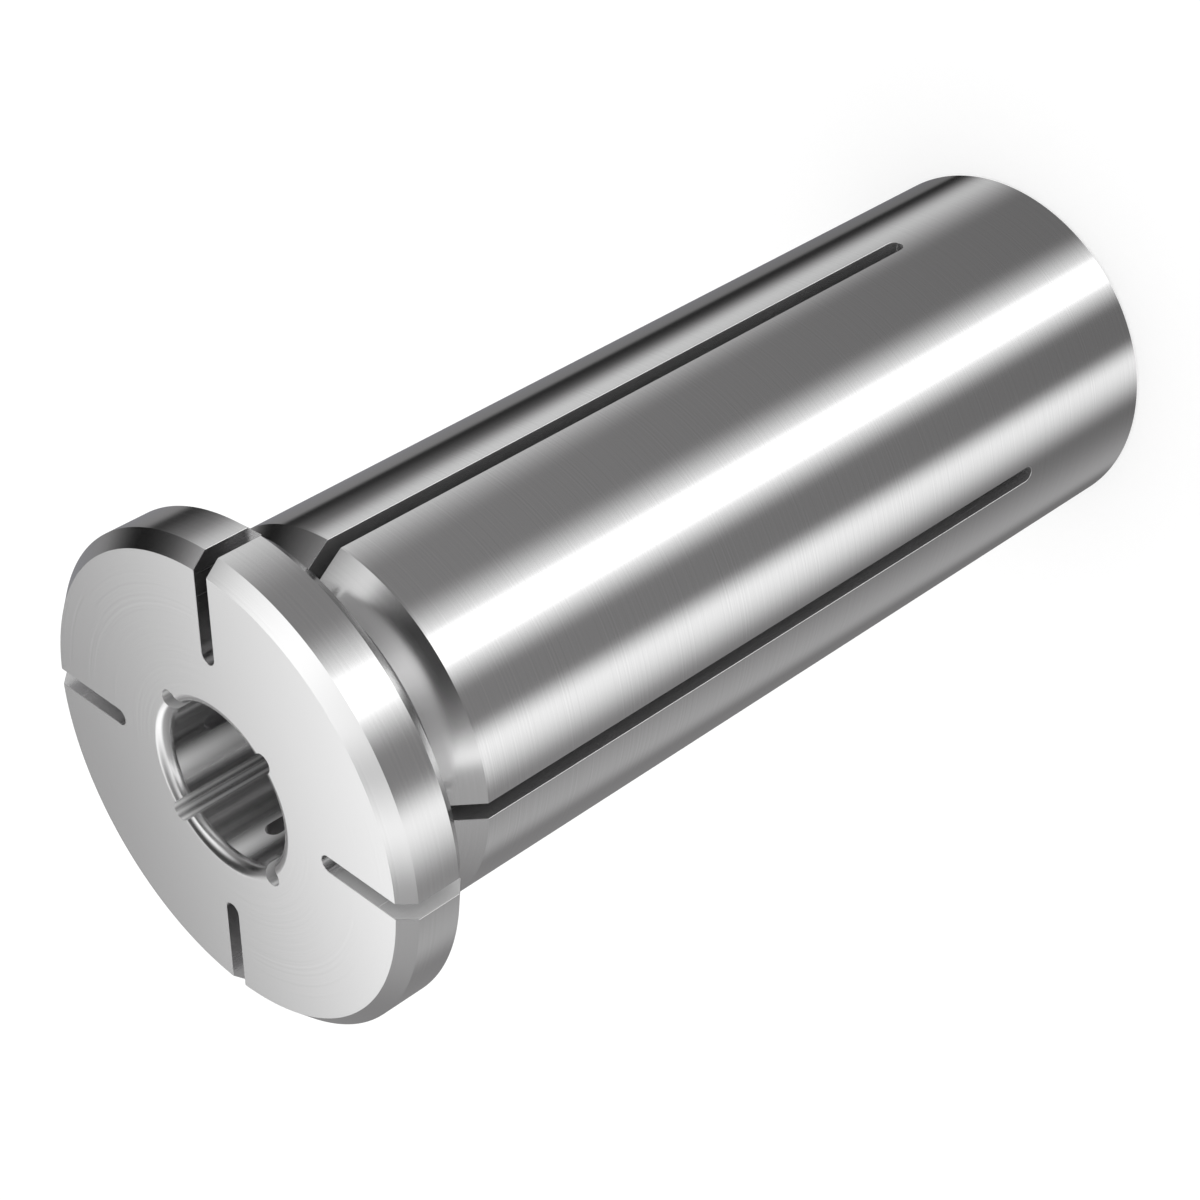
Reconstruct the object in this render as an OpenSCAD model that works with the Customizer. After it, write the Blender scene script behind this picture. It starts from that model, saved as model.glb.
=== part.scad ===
// Hydraulic chuck sleeve: a ground steel reducing sleeve in one piece.
// A tool shank goes into the bore from the flange side. The chuck squeezes the long body,
// the slots let the wall give, and the sleeve closes on the shank.
// Origin: centre of the rear end face. +Z runs along the bore towards the flange,
// and +X points at a groove, half way between two slots.

/* [Body] */
// Diameter of the ground body, the size that the chuck clamps
body_d = 19.05; // [17:0.05:25.4]
// Length from the rear end face to the flange's front face
sleeve_l = 54.5; // [40:0.5:80]
// Chamfer on the rear edges of the body and the bore
rear_break = 0.2; // [0.1:0.05:0.5]

/* [Flange] */
// How far the flange stands out past the body all round
flange_lip = 2.7; // [1.5:0.1:4]
// Thickness of the flange
flange_t = 3.7; // [2.7:0.1:5]
// Width of the 45 degree chamfer on the flange's front and back edges
flange_bevel = 0.7; // [0.3:0.05:1.2]

/* [Neck] */
// How far the neck behind the flange lies below the body's surface
neck_drop = 1.25; // [1:0.025:2.5]
// Length of the neck
neck_l = 2.05; // [0.6:0.05:4]
// Length of the cone that leads from the neck up to the body
lead_l = 1.5; // [1:0.05:4]

/* [Bore] */
// Diameter of the bore, the size of the tool shank
bore_d = 8; // [6:0.1:9]
// Radius of the rounded edge at the bore's mouth
mouth_round = 0.6; // [0.2:0.05:1]

/* [Slots] */
// Number of slots through the wall
slot_n = 4; // [3:1:6]
// Width of each slot
slot_w = 0.85; // [0.5:0.05:1.2]
// Length of closed wall behind the slots, at the rear end
rear_land = 9.1; // [5:0.1:14]
// Length of closed wall round the bore ahead of the slots, at the front
front_land = 2.3; // [1:0.1:4]
// Thickness of that front wall, from the bore out to the floor of the slots
front_wall = 2.8; // [2:0.1:3.2]

/* [Coolant grooves] */
// Width of each groove along the bore, half way between two slots
groove_w = 1; // [0.6:0.05:1.5]
// Depth of each groove's round floor below the bore
groove_drop = 1; // [0.9:0.05:1.5]

/* [Hidden] */
$fn = 96;
over = 1;
body_r = body_d / 2;
bore_r = bore_d / 2;
neck_r = body_r - neck_drop;
flange_r = body_r + flange_lip;
flange_z = sleeve_l - flange_t;
lead_z = flange_z - neck_l;
body_z = lead_z - lead_l;
slot_r = slot_w / 2;
slot_floor = bore_r + front_wall;
groove_r = groove_w / 2;
groove_floor = bore_r + groove_drop;
steel = [0.77, 0.78, 0.79];

// Half section of the turned blank, from the rear end up to the flange's face.
module turned_section() {
    outside = [
        [bore_r + rear_break, 0],
        [body_r - rear_break, 0],
        [body_r, rear_break],
        [body_r, body_z],
        [neck_r, lead_z],
        [neck_r, flange_z],
        [flange_r - flange_bevel, flange_z],
        [flange_r, flange_z + flange_bevel],
        [flange_r, sleeve_l - flange_bevel],
        [flange_r - flange_bevel, sleeve_l],
        [bore_r, sleeve_l],
        [bore_r, rear_break]
    ];
    difference() {
        polygon(outside);
        mouth_corner();
    }
}

// What the rounded edge takes off the corner between the bore and the flange's face.
module mouth_corner() {
    translate([bore_r, sleeve_l - mouth_round])
        difference() {
            translate([-over, 0])
                square([mouth_round + over, mouth_round + over]);
            translate([mouth_round, 0])
                circle(r = mouth_round);
        }
}

// A flat strip with parallel sides from x0, closed by a half circle that ends at x1.
module round_ended(x0, x1, r) {
    translate([x0, -r])
        square([x1 - r - x0, 2 * r]);
    translate([x1 - r, 0])
        circle(r = r);
}

// One slot: open into the bore between the two lands, and shallow through the flange,
// where its half-round floor leaves the front wall closed round the bore.
module slot() {
    z0 = rear_land;
    z1 = sleeve_l - front_land;
    rotate([0, 90, 0])
        linear_extrude(flange_r + over)
            for (z = [z0 + slot_r, z1 - slot_r])
                translate([-z, 0])
                    circle(r = slot_r);
    translate([0, -slot_r, z0 + slot_r])
        cube([flange_r + over, slot_w, z1 - z0 - slot_w]);
    translate([0, 0, z1 - slot_r])
        linear_extrude(front_land + slot_r + over)
            mirror([1, 0])
                round_ended(-flange_r - over, -slot_floor, slot_r);
}

// One groove along the whole bore, with a round floor, for coolant past the shank.
module groove() {
    translate([0, 0, -over])
        linear_extrude(sleeve_l + 2 * over)
            round_ended(0, groove_floor, groove_r);
}

module sleeve() {
    color(steel)
        difference() {
            rotate_extrude()
                turned_section();
            for (i = [0 : slot_n - 1])
                rotate(i * 360 / slot_n) {
                    groove();
                    rotate(180 / slot_n)
                        slot();
                }
        }
}

sleeve();
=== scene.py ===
# %% [markdown]
# # A hydraulic chuck sleeve, from the fixed model to the picture
# This sleeve is one piece of hardened steel. A tool shank goes into its bore, and a
# chuck full of oil squeezes the long body until the four slots close a little.
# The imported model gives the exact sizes. This script shapes the same sleeve again with
# finer edges, gives each ground, turned or sawn surface its own finish, and lights it.
# %% Load the fixed model
from math import atan2, cos, hypot, pi, radians, sin

import bmesh
import bpy
from mathutils import Matrix, Vector


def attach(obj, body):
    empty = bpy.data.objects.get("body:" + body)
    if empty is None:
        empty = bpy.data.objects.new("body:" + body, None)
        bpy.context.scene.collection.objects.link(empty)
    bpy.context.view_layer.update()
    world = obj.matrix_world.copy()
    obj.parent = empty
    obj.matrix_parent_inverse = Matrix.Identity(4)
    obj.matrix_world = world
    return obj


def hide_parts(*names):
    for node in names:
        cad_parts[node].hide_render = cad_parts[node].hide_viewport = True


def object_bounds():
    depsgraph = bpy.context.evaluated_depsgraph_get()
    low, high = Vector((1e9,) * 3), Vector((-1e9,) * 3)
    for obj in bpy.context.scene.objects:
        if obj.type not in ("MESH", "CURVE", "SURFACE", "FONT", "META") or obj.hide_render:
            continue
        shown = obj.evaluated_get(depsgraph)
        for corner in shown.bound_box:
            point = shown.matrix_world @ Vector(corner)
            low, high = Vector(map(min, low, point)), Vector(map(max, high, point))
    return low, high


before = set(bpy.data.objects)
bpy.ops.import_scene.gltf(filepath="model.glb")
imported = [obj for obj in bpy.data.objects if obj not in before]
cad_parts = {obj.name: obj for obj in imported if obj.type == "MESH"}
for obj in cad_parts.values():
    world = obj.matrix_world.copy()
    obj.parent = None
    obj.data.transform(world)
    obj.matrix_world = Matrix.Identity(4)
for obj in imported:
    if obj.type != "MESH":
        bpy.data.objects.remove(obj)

cad_box = [list(corner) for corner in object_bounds()]
MM = 0.001
print("box of the fixed model in mm:", [[round(v / MM, 2) for v in corner] for corner in cad_box])

# %% [markdown]
# ## The sizes
# A turner reads them off the drawing: all lengths are in millimetres, with z measured from
# the rear end face. The first ones repeat the named values of the part's own source. Below
# them stand the small distances and the counts that the steps of this script work with.
# %% Sizes of the sleeve
body_r, bore_r, flange_r, neck_r = 9.525, 4.0, 12.225, 8.275
length, flange_z, neck_z, body_z = 54.5, 50.8, 48.75, 47.25
flange_bevel, mouth_round, rear_break = 0.7, 0.6, 0.2
slot_r, slot_low, slot_high, slot_floor = 0.425, 9.1, 52.2, 6.8
groove_r, groove_floor = 0.5, 5.0
edge_break = 0.02

near = 0.01             # a place within this distance counts as the one looked for
same_point = 0.001      # points closer together than this are one point
crumb = 0.012           # after the cuts, points closer together than this are crumbs
bore_skin = 0.0008      # the bore's flat strips lie within this of its radius
cutter_foot = 2         # the bars reach inwards to this radius, well inside the bore
cutter_head = 14        # the saw reaches outwards to this radius, past the flange
past_end = 1            # the bars run this far past the end faces

strips = 360            # flat strips round the axis
mouth_steps = 12        # strips across the rounding of the mouth
bar_steps = 16          # strips across each rounding of a bar
low, high = Vector(cad_box[0]) / MM, Vector(cad_box[1]) / MM
print("flange across, drawing and model:", 2 * flange_r, round(high.x - low.x, 3))
print("length, drawing and model:", length, round(high.z, 3))

# %% [markdown]
# ## Working by hand, in code
# Operators act on whatever is selected, so each step starts from nothing selected and
# picks its faces, edges or points by their place.
# %% Helpers for selecting and editing
def only(thing):
    """Make one object the selected and active one."""
    bpy.ops.object.select_all(action="DESELECT")
    thing.select_set(True)
    bpy.context.view_layer.objects.active = thing


def pick(thing, kind, test):
    """In edit mode, select the verts, edges or faces of a thing that pass a test."""
    bpy.ops.mesh.select_all(action="DESELECT")
    bpy.ops.mesh.select_mode(type={"verts": "VERT", "edges": "EDGE", "faces": "FACE"}[kind])
    mesh = bmesh.from_edit_mesh(thing.data)
    chosen = [part for part in getattr(mesh, kind) if test(part)]
    for part in chosen:
        part.select_set(True)
    mesh.select_flush_mode()
    bmesh.update_edit_mesh(thing.data)
    return len(chosen)


def clean(thing, distance):
    """Merge points that lie closer than a distance in millimetres and turn the faces outwards."""
    bpy.ops.mesh.select_all(action="SELECT")
    bpy.ops.mesh.remove_doubles(threshold=distance * MM)
    bpy.ops.mesh.normals_make_consistent(inside=False)


bpy.ops.object.select_all(action="DESELECT")

# %% [markdown]
# ## The turned blank
# On a lathe the profile is cut while the bar turns. Here one point is extruded along the
# same half profile, and Spin carries that line once round the axis. A stack of cylinders
# would need joins between them, while a spun line is one skin from the start.
# %% Draw the half profile and spin it
profile = [
    (bore_r + rear_break, 0), (body_r - rear_break, 0), (body_r, rear_break),
    (body_r, body_z), (neck_r, neck_z), (neck_r, flange_z),
    (flange_r - flange_bevel, flange_z), (flange_r, flange_z + flange_bevel),
    (flange_r, length - flange_bevel), (flange_r - flange_bevel, length),
    (bore_r, length), (bore_r, rear_break), (bore_r + rear_break, 0),
]
bpy.ops.mesh.primitive_plane_add(size=MM, location=(profile[0][0] * MM, 0, profile[0][1] * MM))
sleeve = bpy.context.object
sleeve.name = "ground_sleeve"
bpy.ops.object.transform_apply(location=True, rotation=False, scale=False)
bpy.ops.object.mode_set(mode="EDIT")
bpy.ops.mesh.merge(type="CENTER")
for (r0, z0), (r1, z1) in zip(profile, profile[1:]):
    step = ((r1 - r0) * MM, 0, (z1 - z0) * MM)
    bpy.ops.mesh.extrude_vertices_move(TRANSFORM_OT_translate={"value": step})
bpy.ops.mesh.select_all(action="SELECT")
bpy.ops.mesh.spin(steps=strips, angle=2 * pi, center=(0, 0, 0), axis=(0, 0, 1))
clean(sleeve, same_point)
print("turned blank:", len(bmesh.from_edit_mesh(sleeve.data).faces), "faces")

# %% [markdown]
# ## The rounded mouth
# The front edge of the bore is rounded, so that a shank slides in without catching. A
# bevel of many small steps along that one ring of edges gives the quarter circle.
# %% Round the mouth of the bore
def at_mouth(edge):
    """Whether an edge lies on the bore and on the front face."""
    inside = all(hypot(v.co.x, v.co.y) < (bore_r + near) * MM for v in edge.verts)
    return inside and all(v.co.z > (length - near) * MM for v in edge.verts)


ring = pick(sleeve, "edges", at_mouth)
bpy.ops.mesh.bevel(offset=mouth_round * MM, segments=mouth_steps, affect="EDGES", clamp_overlap=False)
bpy.ops.object.mode_set(mode="OBJECT")
print("mouth ring:", ring, "edges rounded,", len(sleeve.data.polygons), "faces now")

# %% [markdown]
# ## The cutters
# A thin saw makes the slots, and a broach with a round tip makes the grooves. Each is a
# bar here: a cube at its size, with some edges bevelled by half its width, which makes
# that end half round. A slot goes right through the wall as far as the inside of the
# flange, and from there only its outer part runs on to the face. So the top of the saw
# is cut in two with Bisect, and the outer half is extruded past the face.
# %% Make the bars
def bar(name, low, high):
    """A cube stretched between two corners in mm, left in edit mode."""
    bpy.ops.mesh.primitive_cube_add(size=MM, location=[(a + b) / 2 * MM for a, b in zip(low, high)])
    made = bpy.context.object
    made.name = name
    made.scale = [b - a for a, b in zip(low, high)]
    bpy.ops.object.transform_apply(location=True, rotation=False, scale=True)
    bpy.ops.object.mode_set(mode="EDIT")
    return made


def round_off(made, test, radius):
    """Make the ends half round at the edges that pass the test, and leave edit mode."""
    edges = pick(made, "edges", test)
    bpy.ops.mesh.bevel(offset=radius * MM, segments=bar_steps, affect="EDGES", clamp_overlap=False)
    clean(made, same_point)
    bpy.ops.object.mode_set(mode="OBJECT")
    print(made.name, "rounded on", edges, "edges,", len(made.data.polygons), "faces")


def runs(edge, axis):
    """How far an edge runs along an axis, as a share of its length."""
    return abs((edge.verts[0].co - edge.verts[1].co).normalized()[axis])


def level(edge, axis, value):
    """Whether both ends of an edge lie at one value in mm on an axis."""
    return all(abs(v.co[axis] - value * MM) < near * MM for v in edge.verts)


saw = bar("saw", (cutter_foot, -slot_r, slot_low), (cutter_head, slot_r, slot_high))
bpy.ops.mesh.bisect(plane_co=(slot_floor * MM, 0, 0), plane_no=(1, 0, 0))
pick(saw, "faces", lambda f: f.normal.z > 0.9 and f.calc_center_median().x > slot_floor * MM)
rise = (0, 0, (length + past_end - slot_high) * MM)
bpy.ops.mesh.extrude_region_move(TRANSFORM_OT_translate={"value": rise})
bpy.ops.mesh.select_all(action="SELECT")
bpy.ops.mesh.dissolve_limited(angle_limit=radians(1))
round_off(saw, lambda e: runs(e, 0) > 0.99 and (level(e, 2, slot_low) or level(e, 2, slot_high))
          or runs(e, 2) > 0.99 and level(e, 0, slot_floor), slot_r)
broach = bar("broach", (cutter_foot, -groove_r, -past_end), (groove_floor, groove_r, length + past_end))
tip_r = 0.98 * groove_r         # a hair less than half the width keeps the two roundings apart
round_off(broach, lambda e: runs(e, 2) > 0.99 and level(e, 0, groove_floor), tip_r)

# %% [markdown]
# ## Cut four slots and four grooves
# An indexing head turns the blank by a quarter between cuts. Turning the cutters does
# the same: each is copied round the axis, and a Boolean takes every copy out of the
# blank. The grooves sit on the axes and the slots halfway between them.
# %% Turn the cutters round the axis and cut
def cut_round(cutter, first_turn):
    """Take a cutter out of the sleeve at four places a quarter turn apart."""
    for quarter in range(4):
        only(cutter)
        bpy.ops.object.duplicate(linked=False)
        copy = bpy.context.object
        turn = radians(first_turn + 90 * quarter)
        bpy.ops.transform.rotate(value=turn, orient_axis="Z", center_override=(0, 0, 0))
        only(sleeve)
        cut = sleeve.modifiers.new("cut", "BOOLEAN")
        cut.operation, cut.solver, cut.object, cut.material_mode = "DIFFERENCE", "EXACT", copy, "TRANSFER"
        bpy.ops.object.modifier_apply(modifier=cut.name)
        only(copy)
        bpy.ops.object.delete()
    only(cutter)
    bpy.ops.object.delete()
    print("cut at", first_turn, "degrees and on:", len(sleeve.data.polygons), "faces")


for thing, finish in ((sleeve, "turned_steel"), (saw, "sawn_steel"), (broach, "broached_steel")):
    thing.data.materials.append(bpy.data.materials.new(finish))
cut_round(saw, 45)
cut_round(broach, 0)

# %% [markdown]
# ## The broken edges
# Saw cuts leave burrs, and a stone takes them off together with a hair of the edge. That
# narrow flat catches the light as a thin line. The walls of a cut have brought the
# cutter's material along, so the edges to break are those between that and the turned
# skin, as far as they lie outside the bore.
# %% Break the edges of the slots
def slot_lip(edge):
    """Whether an edge lies between a cut and the turned skin, outside the grooves."""
    sides = {face.material_index for face in edge.link_faces}
    return len(sides) == 2 and all(hypot(v.co.x, v.co.y) > (groove_floor + 1) * MM for v in edge.verts)


def give(thing, finish):
    """Give the selected faces a finish by its name, with a new slot if it has none yet."""
    if finish not in thing.data.materials:
        thing.data.materials.append(bpy.data.materials.new(finish))
    thing.active_material_index = thing.data.materials.find(finish)
    bpy.ops.object.material_slot_assign()


only(sleeve)
bpy.ops.object.mode_set(mode="EDIT")
clean(sleeve, crumb)
lips = pick(sleeve, "edges", slot_lip)
bpy.ops.mesh.bevel(offset=edge_break * MM, segments=1, affect="EDGES", clamp_overlap=False)
give(sleeve, "stoned_edge")
print("broken edges:", lips, "pieces")

# %% [markdown]
# ## Which tool made which surface
# The long body is ground round, and the bore is honed. The flange and the cone stay as
# they were turned. No wheel reaches the corner behind the flange, so the back of the flange
# stays a little dull, and the neck in that recess is painted dark as painted shade. The rounded
# mouth is smoothed with a stone. The faces of each are picked by their place and the way they face.
# %% Sort the skin by its tool
def place(face):
    """The radius and height of a face's middle in mm, or zeros if it isn't turned skin."""
    centre = face.calc_center_median() / MM
    return (hypot(centre.x, centre.y), centre.z) if face.material_index == 0 else (0, 0)


def ground(face):
    """Whether a face is part of the long body."""
    return abs(face.normal.z) < 0.01 and abs(place(face)[0] - body_r) < 0.1


def neck(face):
    """Whether a face is part of the neck behind the flange."""
    radius, z = place(face)
    return abs(radius - neck_r) < near and neck_z < z < flange_z


def matt(face):
    """Whether a face is part of the back of the flange."""
    radius, z = place(face)
    return radius > neck_r and abs(z - flange_z) < near


def honed(face):
    """Whether a face is part of the bore's wall."""
    return 0 < place(face)[0] < bore_r + bore_skin


def mouth(face):
    """Whether a face is part of the rounding at the front of the bore."""
    radius, z = place(face)
    return bore_r + bore_skin < radius < bore_r + mouth_round and z > length - mouth_round


for finish, test in (("ground_steel", ground), ("neck_painted_shade", neck), ("matt_steel", matt),
                     ("honed_steel", honed), ("stoned_mouth", mouth)):
    print(finish, "on", pick(sleeve, "faces", test), "faces")
    give(sleeve, finish)
bpy.ops.object.mode_set(mode="OBJECT")
finishes = list(sleeve.data.materials.keys())
print("finishes:", finishes)

# %% [markdown]
# ## Smooth light on a spun skin
# A spun skin is made of flat strips, and an even shading between them needs to know which
# way the true surface faces. On turned metal that is simple: the facing leans only in and
# out and up and down, so each corner takes its strip's lean, turned to the corner's own
# place round the axis. At the mouth it points straight from the middle of the rounding.
# The broken edges and the flat walls of a cut, which face straight across it, keep their
# own facing, and the half-round ends blend.
# %% Give every corner the facing of the true surface
def true_facing(face, point):
    """The outward direction of the turned surface at a point."""
    radius, out = hypot(point.x, point.y), Vector((point.x, point.y, 0)).normalized()
    centre = face.center
    if hypot(centre.x, centre.y) < (bore_r + mouth_round) * MM and centre.z > (length - mouth_round) * MM:
        ring_r, ring_z = (bore_r + mouth_round) * MM, (length - mouth_round) * MM
        return (out * (radius - ring_r) + Vector((0, 0, point.z - ring_z))).normalized()
    side = 1 if face.normal.dot(out) > 0 else -1
    return (out * side * hypot(face.normal.x, face.normal.y) + Vector((0, 0, face.normal.z))).normalized()


only(sleeve)
bpy.ops.object.shade_smooth_by_angle(angle=radians(25))
turned = {"turned_steel", "ground_steel", "neck_painted_shade", "matt_steel", "honed_steel", "stoned_mouth"}
mesh = sleeve.data
facing = [Vector(corner.vector) for corner in mesh.corner_normals]
for face in mesh.polygons:
    finish = finishes[face.material_index]
    turn = round(atan2(face.center.y, face.center.x) / (pi / 4)) * pi / 4
    wall = abs(face.normal.dot(Vector((-sin(turn), cos(turn), 0)))) > 0.9995
    for corner in face.loop_indices:
        if finish in turned:
            facing[corner] = true_facing(face, mesh.vertices[mesh.loops[corner].vertex_index].co)
        elif finish == "stoned_edge" or wall:
            facing[corner] = face.normal.copy()
mesh.normals_split_custom_set(facing)
print("corners given a facing:", len(facing))

# %% [markdown]
# ## Sums for finishes
# A finish is a small calculation at every point of the surface. To write it as one, a
# Wire holds a socket, and adding or multiplying wires adds the Math nodes for it. Every
# other node comes from the one method node, which sets the node up before it links it.
# %% A wire that can be calculated with
class Wire:
    """One socket of a node tree that works like a number."""

    def __init__(self, tree, socket=None):
        self.tree, self.socket = tree, socket

    def node(self, kind, settings=None, sockets=None, out=0):
        """Add a node: its type, its settings, then the values or wires of its sockets."""
        made = self.tree.nodes.new(kind)
        for name, value in (settings or {}).items():
            setattr(made, name, value)
        for name, value in (sockets or {}).items():
            if isinstance(value, Wire):
                self.tree.links.new(value.socket, made.inputs[name])
            else:
                made.inputs[name].default_value = value
        return Wire(self.tree, made.outputs[out] if made.outputs else None)

    def maths(self, operation, *others):
        """A Math node on this wire and, where the sum needs them, others."""
        return self.node("ShaderNodeMath", {"operation": operation}, dict(enumerate((self, *others))))

    def ramp(self, start, end):
        """A smooth rise from 0 at start to 1 at end."""
        return self.node("ShaderNodeMapRange", {"interpolation_type": "SMOOTHSTEP"},
                         {"Value": self, "From Min": start, "From Max": end})

    def parts(self):
        """The x, y and z of a direction or place."""
        return [self.node("ShaderNodeSeparateXYZ", {}, {0: self}, axis) for axis in range(3)]

    def __add__(self, other):
        return self.maths("ADD", other)

    def __sub__(self, other):
        return self.maths("SUBTRACT", other)

    def __rsub__(self, other):
        return self.node("ShaderNodeMath", {"operation": "SUBTRACT"}, {0: other, 1: self})

    def __mul__(self, other):
        return self.maths("MULTIPLY", other)

    def __truediv__(self, other):
        return self.maths("DIVIDE", other)

    __radd__, __rmul__ = __add__, __mul__


def blank_tree(owner):
    """A node tree with nothing in it but a place to start."""
    owner.use_nodes = True
    owner.node_tree.nodes.clear()
    return Wire(owner.node_tree)


def mix_colours(wire, share, first, second):
    """A colour between two others, by a share from 0 to 1."""
    return wire.node("ShaderNodeMix", {"data_type": "RGBA"}, {0: share, 6: first, 7: second}, 2)


# %% [markdown]
# ## Machined steel
# Every tool leaves fine parallel lines, so a finish is mostly a noise in one number only.
# On turned and ground skin the lines run round the axis, and that number is z minus the
# radius, which changes both along the body and across the face. On the walls of a slot
# they run lengthwise, and it is the radius. In the bore it is the angle round the axis.
# A real line fades out and another starts, so two sets of lines take turns, led by a slow
# noise that changes over a patch of a few millimetres. The lines vary the colour and the
# roughness a little, and a very low bump spreads the light across them.
# %% One recipe for all the finishes
other_lines = 71.3      # the second set of lines is read this far along the same noise


def machined(material, colour, roughness, gap, contrast, unevenness, depth,
             across="z less radius", painted_light=None):
    """Steel with tool lines a gap in mm apart and a depth in mm high, and maybe painted light.

    Contrast and unevenness say how much the lines change the colour and the roughness.
    """
    start = blank_tree(material)
    x, y, z = [part / MM for part in start.node("ShaderNodeTexCoord", out="Object").parts()]
    radius, angle = (x * x + y * y).maths("SQRT"), y.maths("ARCTAN2", x)
    number = {"z less radius": z - radius, "radius": radius, "angle": angle * bore_r}[across]
    patch = (7, 7, 2) if across == "z less radius" else (2, 2, 9)
    stretch = [part / size for part, size in zip((x, y, z), patch)]
    slow_place = start.node("ShaderNodeCombineXYZ", {}, dict(enumerate(stretch)))
    slow = start.node("ShaderNodeTexNoise", {}, {"Vector": slow_place, "Scale": 1.0, "Detail": 2.0})
    turn = slow.ramp(0.4, 0.6)

    def lines(gap, detail):
        """Noise from -0.5 to 0.5 that changes over a gap in mm."""
        one, other = [
            start.node("ShaderNodeTexNoise", {"noise_dimensions": "1D"}, {
                "W": number / gap + shift, "Scale": 1.0, "Detail": detail, "Roughness": 0.6})
            for shift in (0.0, other_lines)
        ]
        return one * (1 - turn) + other * turn - 0.5

    hair = lines(gap, 2.0)
    dark = [part * (1 - contrast) for part in colour] + [1]
    light = [min(1, part * (1 + contrast)) for part in colour] + [1]
    shine = (hair + (slow - 0.5) * 0.3) * unevenness + roughness
    raised = start.node("ShaderNodeBump", {}, {"Strength": 1.0, "Distance": depth * MM, "Height": hair})
    colour, metal = mix_colours(start, hair * 2 + 0.5, dark, light), 1.0
    # Painted light: where a share is given, the surface turns from metal to plain white.
    if painted_light:
        share = painted_light(angle, radius, z)
        colour, metal = mix_colours(start, share, colour, (1, 1, 1, 1)), 1 - share
    steel = start.node("ShaderNodeBsdfPrincipled", {}, {
        "Base Color": colour, "Metallic": metal, "Roughness": shine, "Normal": raised})
    start.node("ShaderNodeOutputMaterial", {}, {"Surface": steel})
    print(material.name, "made of", len(start.tree.nodes), "nodes")


# %% [markdown]
# ## Nine finishes of one steel
# The honed bore and the ground body have the finest lines, and the lines of a turning tool
# are a little wider apart. The neck, dark with painted shade, and the back of the flange are rougher.
# Down in the bore and the slots light goes to and fro between the walls many times, and a
# render follows it only a few times. Pale places are painted light that gives it back: there the
# surface turns from metal to plain white by a share. In the bore the painted light lies in five
# soft bands along the wall, and in the grooves in stripes along them. Through the flange two of
# the slots, opposite each other, are paler with painted light. The back of the flange has a
# little painted light as well.
# %% Make the finishes
def painted_bore_light(angle, radius, z):
    """Painted light on the bore, in five soft bands by the angle round the axis."""
    wave = (angle * 5 + radians(45)).maths("COSINE")
    return wave * wave * (wave * 0.4 + 0.45) + 0.02


def painted_groove_light(angle, radius, z):
    """Painted light in a groove, in stripes along it and brighter towards its open end."""
    wave = (angle * 44).maths("COSINE")
    return wave * wave * 0.55 + 0.12 + z.ramp(length - 1.4, length - 0.4) * 0.18


def painted_slot_light(angle, radius, z):
    """Painted light on a slot's wall, by the slot it is in and its place along the cut."""
    # Painted light: the slot at 225 degrees is palest through the flange and the one at 45 less so, while
    # deeper down every slot gets a little.
    wave = (angle + radians(135)).maths("COSINE")
    slot_pair_light = wave * wave * (wave * 0.15 + 0.33) * radius.ramp(7.1, 7.8)
    deep_light = 0.1
    return z.ramp(flange_z - 1, flange_z) * (slot_pair_light - deep_light) + deep_light


def painted_back_light(angle, radius, z):
    """Painted light on the back of the flange, more towards its rim."""
    return radius.ramp(neck_r, flange_r - 1) * 0.3 + 0.03


finish = {name: sleeve.data.materials[name] for name in finishes}
# finish, colour, roughness, gap, contrast, unevenness, depth, direction, painted light
machined(finish["ground_steel"], (0.763, 0.762, 0.763), 0.12, 0.10, 0.045, 0.018, 0.00003)
machined(finish["turned_steel"], (0.774, 0.773, 0.774), 0.16, 0.14, 0.02, 0.03, 0.00004)
machined(finish["matt_steel"], (0.60, 0.595, 0.60), 0.32, 0.22, 0.03, 0.03, 0.00005, painted_light=painted_back_light)
# The neck's near black colour is painted shade for the recess behind the flange.
machined(finish["neck_painted_shade"], (0.19, 0.188, 0.19), 0.45, 0.25, 0.03, 0.03, 0.00005)
machined(finish["honed_steel"], (0.6, 0.598, 0.6), 0.18, 0.10, 0.10, 0.06, 0.0001, "angle", painted_bore_light)
machined(finish["stoned_mouth"], (0.77, 0.768, 0.77), 0.24, 0.20, 0.03, 0.03, 0.00004)
machined(finish["sawn_steel"], (0.63, 0.627, 0.63), 0.26, 0.14, 0.07, 0.06, 0.00015, "radius", painted_slot_light)
machined(finish["broached_steel"], (0.66, 0.657, 0.66), 0.2, 0.12, 0.30, 0.10, 0.0003, "angle", painted_groove_light)
machined(finish["stoned_edge"], (0.76, 0.757, 0.76), 0.38, 0.20, 0.04, 0.04, 0.0001)
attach(sleeve, "root")
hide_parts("sleeve")

# %% [markdown]
# ## The floor
# The sleeve stands on its rear end on white paper that keeps its soft shadow. The paper
# glows a little over half white and gives back half of the plain white light on it, so
# together they are white. The steel looks through the paper into the light tent below it,
# since a bare white plane would leave the lower half of every reflection blank. From below
# the paper is clear, so that the rear end can be looked at too, and a hair's gap keeps the
# two apart.
# %% Lay the floor
paper_size, paper_gap = 6, 0.02 * MM        # both in metres
bpy.ops.mesh.primitive_plane_add(size=paper_size, location=(0, 0, -paper_gap))
floor = bpy.context.object
floor.name = "white_floor"
floor.data.materials.append(bpy.data.materials.new("white_paper"))
start = blank_tree(floor.data.materials[0])
paper = start.node("ShaderNodeBsdfDiffuse", {}, {"Color": (0.5, 0.5, 0.5, 1)})
glow = start.node("ShaderNodeEmission", {}, {"Color": (1, 1, 1, 1), "Strength": 0.58})
sheet = start.node("ShaderNodeAddShader", {}, {0: paper, 1: glow})
clear = start.node("ShaderNodeLightPath", out="Is Glossy Ray").maths(
    "MAXIMUM", start.node("ShaderNodeNewGeometry", out="Backfacing"))
nothing = start.node("ShaderNodeBsdfTransparent")
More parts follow.
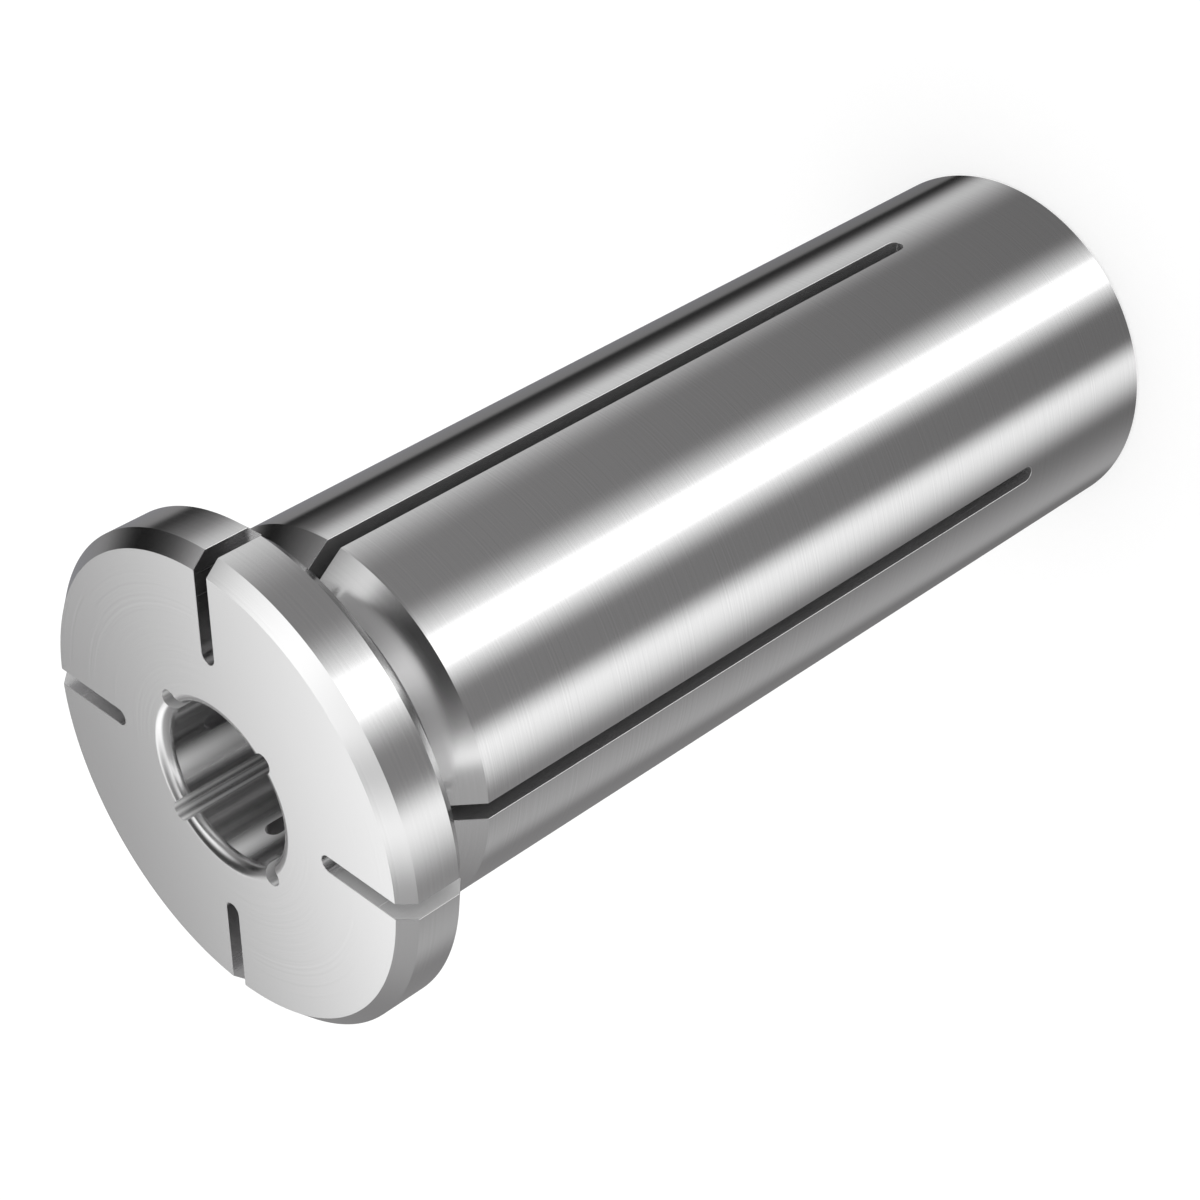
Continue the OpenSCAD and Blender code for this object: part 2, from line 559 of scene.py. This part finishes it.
seen = start.node("ShaderNodeMixShader", {}, {0: clear, 1: sheet, 2: nothing})
start.node("ShaderNodeOutputMaterial", {}, {"Surface": seen})

# %% [markdown]
# ## The light tent
# Polished metal shows its surroundings, so it is photographed inside a white tent with a
# few soft panels and dark flags. Here the tent is the world: its brightness is worked out
# from the compass direction and the height that a reflection looks in, both in degrees.
# East is +X and north +Y, and the compass counts from the east towards the north, so the
# camera stands at -90. The camera itself and everything that isn't a reflection meet plain
# white light of strength 1.
# %% Find the direction of a reflection
world = bpy.data.worlds.new("light_tent")
bpy.context.scene.world = world
start = blank_tree(world)
east, north, up = start.node("ShaderNodeTexCoord", out="Generated").parts()
compass = north.maths("ARCTAN2", east) * (180 / pi)
height = up.maths("ARCSINE") * (180 / pi)

# %% [markdown]
# ## Upright panels and flags
# The bare walls are grey: darker far down, lighter above the horizon in the west, and
# nearly black above it on the camera's side. Each panel stands at a compass direction and
# has its own soft edges. Some lean, so their direction shifts with the height. A panel adds
# light up to its top, and a flag takes light away. The south panel, on the camera's side, is
# the brightest and has a crisp core, which draws the clear white streak along the body. The
# high panel is there for the cone.
# %% Stand the panels and flags round the sleeve
def upright(middle, left, right, lean=0.0, flat=0.0):
    """How much of a panel a direction meets, from 0 to 1."""
    off = (compass - height * lean).maths("SUBTRACT", middle + 38 * lean).maths("WRAP", 180, -180)
    return off.ramp(-left, -flat) * off.ramp(right, flat)


def under(top, fade=10):
    """1 below a height, fading to 0 above it."""
    return height.ramp(top + fade, top - fade)


walls = 0.14 + height.ramp(-60, -19) * 0.12
walls = walls + upright(175, 75, 75, flat=25) * height.ramp(0, 30) * 0.15
walls = walls * (1 - upright(-80, 67, 67, flat=10) * height.ramp(0, 25) * 0.92)

south_panel = upright(-87, 25, 35) * under(0) * 1.16
south_west_panel = upright(-146, 33, 17, 0.37) * under(33, 7) * 0.89
east_panel = upright(16, 38, 21, -1.2) * under(33, 20) * 0.5
north_west_panel = upright(143, 20, 45, 1.2) * under(0) * 0.2
crisp_core = upright(-84.5, 11, 11, flat=9) * under(0) * 0.35
high_panel = upright(-143, 16, 12, flat=6) * height.ramp(25, 33) * under(41, 3) * 0.8
panels = south_panel + south_west_panel + east_panel + north_west_panel + crisp_core + high_panel

low_flag = upright(45, 30, 6) * under(1, 7) * 0.94
high_flag = upright(39, 51, 21) * height.ramp(-8, 6)
flags = (1 - low_flag) * (1 - high_flag)

# %% [markdown]
# ## The ceiling panel
# The largest light is a flat panel overhead. A direction meets the ceiling at a place, east
# and north of the sleeve, found by dividing by how steeply it climbs. The panel has four
# soft sides there, one of them slanted, and in the metal they become curves. It has a dark
# opening to the north-east, and from about 34 degrees up a wedge of it on that side is dark
# as well. Both keep the rounded mouth of the bore from glaring.
# %% Hang the ceiling panel and switch the tent on
climb = up.maths("MAXIMUM", 0.03)
ceiling_east, ceiling_north = east / climb, north / climb
ceiling = (ceiling_east.ramp(-1.21, -0.74) * ceiling_east.ramp(2.16, 0.34)
           * ceiling_north.ramp(-0.67, -0.59) * (ceiling_north + ceiling_east * 0.42).ramp(2.17, 1.65))
across, along = (ceiling_east - ceiling_north - 0.09) / 1.12, (ceiling_north - 0.91) / 1.17
opening = (across * across + along * along).maths("SQRT").ramp(1.36, 0.64) * 0.88
wedge = upright(55, 35, 37, flat=31) * height.ramp(32.5, 36) * 0.85
dim_side = upright(-125, 31, 31) * under(67, 12) * 0.43
shaded = (1 - dim_side) * (1 - opening) * (1 - wedge)
ceiling_light = 1.4
tent = (walls + panels) * flags * (1 - ceiling) + ceiling * shaded * ceiling_light

lilac, blue, white = (1, 0.985, 0.99, 1), (0.97, 0.97, 1.04, 1), (1, 1, 1, 1)
tint = mix_colours(start, upright(75, 25, 25) * under(0), lilac, blue)
tint = mix_colours(start, tent.ramp(0.15, 0.6), tint, white)
reflected = start.node("ShaderNodeBackground", {}, {"Color": tint, "Strength": tent})
plain_white = start.node("ShaderNodeBackground", {}, {"Color": white, "Strength": 1.0})
glossy = start.node("ShaderNodeLightPath", out="Is Glossy Ray")
light = start.node("ShaderNodeMixShader", {}, {0: glossy, 1: plain_white, 2: reflected})
start.node("ShaderNodeOutputWorld", {}, {"Surface": light})
print("tent made of", len(start.tree.nodes), "nodes")

# %% [markdown]
# ## The camera
# The picture looks down on the flange from 35 degrees above, from close by, so that the
# far end is clearly smaller. The camera is rolled until the body rises to the right.
# %% Set up the camera
eye, aim = Vector((-0.161, -114.469, 112.310)) * MM, Vector((-1.307, -0.013, 31.763)) * MM
roll = Matrix.Rotation(radians(-120.371), 3, "Z")
turn = (aim - eye).to_track_quat("-Z", "Y").to_matrix() @ roll
bpy.ops.object.camera_add(location=eye, rotation=turn.to_euler())
camera = bpy.context.object
camera.data.sensor_width, camera.data.lens = 36, 86.4956
camera.data.clip_start, camera.data.clip_end = 0.005, 20
bpy.context.scene.camera = camera
bpy.context.scene.view_settings.view_transform = "Standard"
print("camera stands", round((aim - eye).length / MM, 1), "mm from the middle of the sleeve")
